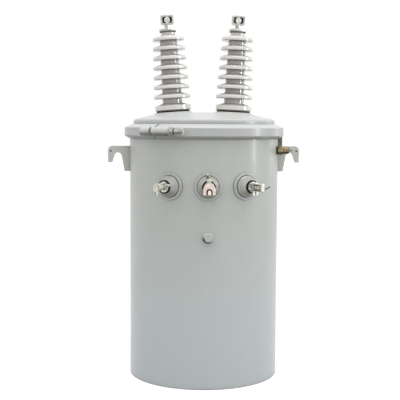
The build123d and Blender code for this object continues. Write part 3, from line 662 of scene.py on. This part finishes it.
BEAD_STEP = 0.5 * MM
BEAD_SIDES = 10
RIPPLE_STEPS = 6
RIPPLE = 0.10  # share of the bead's radius
DRIFT = 0.05  # a second, slower change of radius, so that no two ripples are the same
DRIFT_TURN = 0.37  # radians a step
END_SHARE = 0.2  # the bead's ends shrink to this share of its radius


def weld_bead(name, path, radius, finish=finishes["tank_paint"]):
    """A painted weld bead on the wall, with even ripples and rounded ends."""
    rings = []
    for step, middle in enumerate(path):
        before = path[max(step - 1, 0)]
        after = path[min(step + 1, len(path) - 1)]
        way = (after - before).normalized()
        side = way.cross(from_axis(middle)).normalized()
        over = side.cross(way)
        ripple = RIPPLE * sin(2 * pi * step / RIPPLE_STEPS) + DRIFT * sin(DRIFT_TURN * step)
        to_end = min(step, len(path) - 1 - step) * BEAD_STEP
        taper = sqrt(max(END_SHARE**2, 1.0 - max(0.0, 1.0 - to_end / (2 * radius)) ** 2))
        swell = radius * (1.0 + ripple) * taper
        rings.append([middle + swell * spoke for spoke in spokes(side, over, BEAD_SIDES)])
    return add_piece(name, finish, rings)


def straight(start, end):
    """Points a bead's step apart from one place to another."""
    start, end = Vector(start), Vector(end)
    steps = int((end - start).length / BEAD_STEP)
    return [start.lerp(end, step / steps) for step in range(steps + 1)]


def from_axis(place):
    """The unit vector away from the tank's axis at a place."""
    return Vector((place.x, place.y, 0.0)).normalized()


def wall_at(offset):
    """How far from the tank's axis its wall is in x at an offset in y, or in y at one in x."""
    return sqrt(WALL**2 - offset**2)


def thread(name, slot, finish, start, end, way, radius, pitch, sides=24):
    """A screw thread's ridge wound round an axis between two heights along it."""
    way, across, over = square_to(way)
    flank, crest = 0.45 * pitch, 0.10 * pitch
    sunk, proud = radius - 0.1 * MM, radius + 0.55 * MM
    section = ((-flank, sunk), (-crest, proud), (crest, proud), (flank, sunk))
    steps = int((end - start - pitch) / pitch * sides)
    round_it = spokes(across, over, sides)
    rings = []
    for step in range(steps + 1):
        rise = start + pitch * (0.5 + step / sides)
        spoke = round_it[step % sides]
        rings.append([(rise + height) * way + reach * spoke for height, reach in section])
    return add_piece(name, finish, rings)


def extent(node, way):
    """The lowest and highest place of a node along a direction."""
    way = way.normalized()
    reaches = [corner.co.dot(way) for corner in frame["nodes"][node].data.vertices]
    return min(reaches), max(reaches)


def surface_hit(node, start, way):
    """Where a ray first meets a node, and the surface's normal there."""
    mesh = frame["nodes"][node].data
    corners = [corner.co for corner in mesh.vertices]
    tree = BVHTree.FromPolygons(corners, [face.vertices[:] for face in mesh.polygons])
    return tree.ray_cast(start, way)[:2]


# Weld beads beside the lifting lugs and the pole hangers.
LUG_BEAD = 2.0 * MM
HANGER_BEAD = 2.4 * MM
WALL_GAP = 0.6 * MM  # how far a bead's middle stands out of the wall
BEAD_INSET = 2 * MM  # from a plate's end to its bead's

for side, sign in (("left", -1.0), ("right", 1.0)):
    low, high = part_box("lifting_lug_" + side)
    for face, y in (("front", low[1]), ("back", high[1])):
        x = sign * (wall_at(y) + WALL_GAP)
        path = straight((x, y, low[2] + BEAD_INSET), (x, y, high[2] - BEAD_INSET))
        weld_bead(f"lug_weld_{side}_{face}", path, LUG_BEAD)

for level in ("upper", "lower"):
    low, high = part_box("pole_hanger_" + level)
    for side, x in (("left", high[0]), ("right", low[0])):
        y = wall_at(x) + WALL_GAP
        path = straight((x, y, low[2] + BEAD_INSET), (x, y, high[2] - BEAD_INSET))
        weld_bead(f"hanger_weld_{level}_{side}", path, HANGER_BEAD)

# The tank's seam, from just above the floor up to its rolled lip.
SEAM_BEAD = 2.6 * MM
SEAM_SINK = 1.4 * MM  # how far its middle lies inside the wall
SEAM_AZIMUTH = radians(207.0)  # from the front towards +X, so beside the hangers at the back
SEAM_FOOT = 3 * MM
LIP_DROP = 34 * MM  # from the cover's gasket down to the seam's top
seam = (WALL - SEAM_SINK) * Vector((sin(SEAM_AZIMUTH), -cos(SEAM_AZIMUTH), 0.0))
seam_top = extent("cover_gasket", UP)[0] - LIP_DROP
weld_bead("tank_seam", straight(seam + SEAM_FOOT * UP, seam + seam_top * UP), SEAM_BEAD)

# The ground pad's weld.
PAD_BEAD = 1.4 * MM
PAD_CLEARANCE = 0.4 * MM  # from the pad's edge to its bead's middle
PAD_GAP = 0.3 * MM
pad = centre_of("ground_pad")
low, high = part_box("ground_pad")
pad_radius = (high[0] - low[0]) / 2 + PAD_CLEARANCE
pad_steps = int(2 * pi * pad_radius / BEAD_STEP)
pad_path = []
for step in range(pad_steps + 1):
    turn = 2 * pi * step / pad_steps
    x = pad.x + pad_radius * sin(turn)
    pad_path.append(Vector((x, -wall_at(x) - PAD_GAP, pad.z + pad_radius * cos(turn))))
weld_bead("ground_pad_weld", pad_path, PAD_BEAD, lit_pad_paint)

# Rubber plugs fill the two small holes in the lifting lugs.
HOLE_RADIUS = 2.70 * MM
HOLE_INSET = 8.5 * MM
HOLE_DROP = 15.5 * MM
PLUG_DOME = ((-0.5, 0.3), (-0.35, 0.75), (0.0, 1.0))  # height in mm, share of the hole's radius
for side, sign in (("left", -1.0), ("right", 1.0)):
    low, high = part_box("lifting_lug_" + side)
    tip = max(abs(low[0]), abs(high[0]))
    foot = Vector((sign * (tip - HOLE_INSET), high[1], high[2] - HOLE_DROP))
    plate = high[1] - low[1]
    outline = [(height * MM, share * HOLE_RADIUS) for height, share in PLUG_DOME]
    outline += [(plate - height, radius) for height, radius in outline[::-1]]
    turned("lug_plug_" + side, hole_rubber, foot, FRONT, outline)

# The edge of a rubber gasket shows round the foot of each low-voltage bushing's flange.
SEAT_RISE = 4.0 * MM  # the flat seats stand this far out of the wall
GASKET_EDGE = ((-0.2, 30.7), (-0.2, 32.4), (0.3, 32.7), (1.0, 32.7), (1.6, 32.2), (1.6, 30.7))
section = [(height * MM, radius * MM) for height, radius in GASKET_EDGE]
for side in ("left", "centre", "right"):
    seal = centre_of("lv_seal_" + side)
    outward = from_axis(seal)
    foot = (WALL + SEAT_RISE) * outward + seal.z * UP
    hoop("lv_gasket_edge_" + side, seat_rubber, foot, outward, section)

# The draw bolt's thread, where it shows between the barrels.
CLOSURE_AZIMUTH = radians(-35.0)
BOLT_RADIUS = 6.0 * MM
BOLT_PITCH = 1.5 * MM
tangent = Vector((cos(CLOSURE_AZIMUTH), sin(CLOSURE_AZIMUTH), 0.0))
spoke = Vector((sin(CLOSURE_AZIMUTH), -cos(CLOSURE_AZIMUTH), 0.0))
nut = centre_of("band_nut")
bolt_axis = nut.dot(spoke) * spoke + nut.z * UP
gap = (extent("band_lug_left", tangent)[1], extent("band_lug_right", tangent)[0])
draw_thread = thread(
    "band_bolt_thread", "zinc_hardware", bolt_steel, *gap, tangent, BOLT_RADIUS, BOLT_PITCH
)
draw_thread.data.transform(Matrix.Translation(bolt_axis))

# A small dark screw holds the ground strap down beside its left edge.
ABOVE_SCREW = Vector((-3.6 * MM, -262.0 * MM, 660.0 * MM))
SCREW_HEAD = ((-0.3, 3.0), (0.5, 3.0), (0.7, 2.3), (3.6, 2.2), (4.2, 1.7), (4.4, 0.3))
place, normal = surface_hit("ground_strap", ABOVE_SCREW, DOWN)
outline = [(height * MM, radius * MM) for height, radius in SCREW_HEAD]
turned("strap_screw", dark_screw, place, normal, outline)


# ---- floor, backdrop and light ---------------------------------------------------------------
WHITE = (1.0, 1.0, 1.0, 1.0)
FLOOR_GREY = (0.42, 0.42, 0.42, 1.0)
FLOOR_GLOW = 0.74  # added where the camera sees the floor, so that it comes out white
FLOOR_REACH = 20.0
REFLECTOR_DISTANCE = 2.6
REFLECTOR_AIM = 0.75
SKY_STRENGTH = 1.12  # the light that falls on the object
BACKDROP_STRENGTH = 1.0  # what the camera sees


def seen_directly(tree):
    """1 for what the camera sees directly, in a reflection or through glass."""
    path = tree.nodes.new("ShaderNodeLightPath")
    total = path.outputs["Is Camera Ray"]
    for name in ("Is Glossy Ray", "Is Transmission Ray"):
        add = tree.nodes.new("ShaderNodeMath")
        add.operation = "MAXIMUM"
        tree.links.new(total, add.inputs[0])
        tree.links.new(path.outputs[name], add.inputs[1])
        total = add.outputs[0]
    return total


def white_floor():
    """A white floor that keeps the object's soft shadow."""
    material = bpy.data.materials.new("white_floor")
    material.use_nodes = True
    tree = material.node_tree
    tree.nodes.clear()
    output = tree.nodes.new("ShaderNodeOutputMaterial")
    diffuse = tree.nodes.new("ShaderNodeBsdfDiffuse")
    diffuse.inputs["Color"].default_value = FLOOR_GREY
    glow = tree.nodes.new("ShaderNodeEmission")
    strength = tree.nodes.new("ShaderNodeMath")
    strength.operation = "MULTIPLY"
    tree.links.new(seen_directly(tree), strength.inputs[0])
    strength.inputs[1].default_value = FLOOR_GLOW
    tree.links.new(strength.outputs[0], glow.inputs["Strength"])
    both = tree.nodes.new("ShaderNodeAddShader")
    tree.links.new(diffuse.outputs[0], both.inputs[0])
    tree.links.new(glow.outputs[0], both.inputs[1])
    tree.links.new(both.outputs[0], output.inputs["Surface"])
    return material


def white_world():
    """Even white light all round, and a plain white backdrop where the camera sees it."""
    world = bpy.data.worlds.new("studio")
    world.use_nodes = True
    tree = world.node_tree
    tree.nodes.clear()
    either = tree.nodes.new("ShaderNodeMixShader")
    tree.links.new(seen_directly(tree), either.inputs["Fac"])
    for shader, strength in zip(either.inputs[1:], (SKY_STRENGTH, BACKDROP_STRENGTH)):
        background = tree.nodes.new("ShaderNodeBackground")
        background.inputs["Color"].default_value = WHITE
        background.inputs["Strength"].default_value = strength
        tree.links.new(background.outputs[0], shader)
    output = tree.nodes.new("ShaderNodeOutputWorld")
    tree.links.new(either.outputs[0], output.inputs["Surface"])
    return world


def around(azimuth, distance, height):
    """A place round the object: degrees from the front towards +X."""
    return (distance * sin(radians(azimuth)), -distance * cos(radians(azimuth)), height)


def softbox(name, place, aim, width, height, power):
    """A soft lamp panel at a place in metres, turned towards a height on the tank's axis."""
    data = bpy.data.lights.new(name, "AREA")
    data.shape = "RECTANGLE"
    data.size = width
    data.size_y = height
    data.energy = power
    lamp = bpy.data.objects.new(name, data)
    bpy.context.collection.objects.link(lamp)
    lamp.location = place
    lamp.rotation_euler = (aim * UP - Vector(place)).to_track_quat("-Z", "Y").to_euler()
    return lamp


def reflector(name, azimuth, width, height, middle, power):
    """A tall narrow panel that shows only as a streak on glossy surfaces."""
    place = around(azimuth, REFLECTOR_DISTANCE, middle)
    lamp = softbox(name, place, REFLECTOR_AIM, width, height, power)
    lamp.visible_diffuse = False


quarters = ((-1, -1), (1, -1), (1, 1), (-1, 1))
corners = [(x * FLOOR_REACH, y * FLOOR_REACH, 0) for x, y in quarters]
floor_mesh = bpy.data.meshes.new("floor")
floor_mesh.from_pydata(corners, [], [(0, 1, 2, 3)])
floor_mesh.materials.append(white_floor())
floor = bpy.data.objects.new("floor", floor_mesh)
bpy.context.collection.objects.link(floor)
scene.world = white_world()

softbox("overhead", (0.2, -0.2, 3.2), aim=0.6, width=2.4, height=2.4, power=50.0)
softbox("key", around(30.0, 3.4, 1.4), aim=0.5, width=2.2, height=1.6, power=5.0)
softbox("side", around(80.0, 3.4, 1.2), aim=0.5, width=1.6, height=1.6, power=8.0)
reflector("right_strip", 75.5, width=0.14, height=1.4, middle=1.25, power=48.0)
reflector("far_strip", 121.0, width=0.05, height=1.3, middle=1.15, power=7.0)
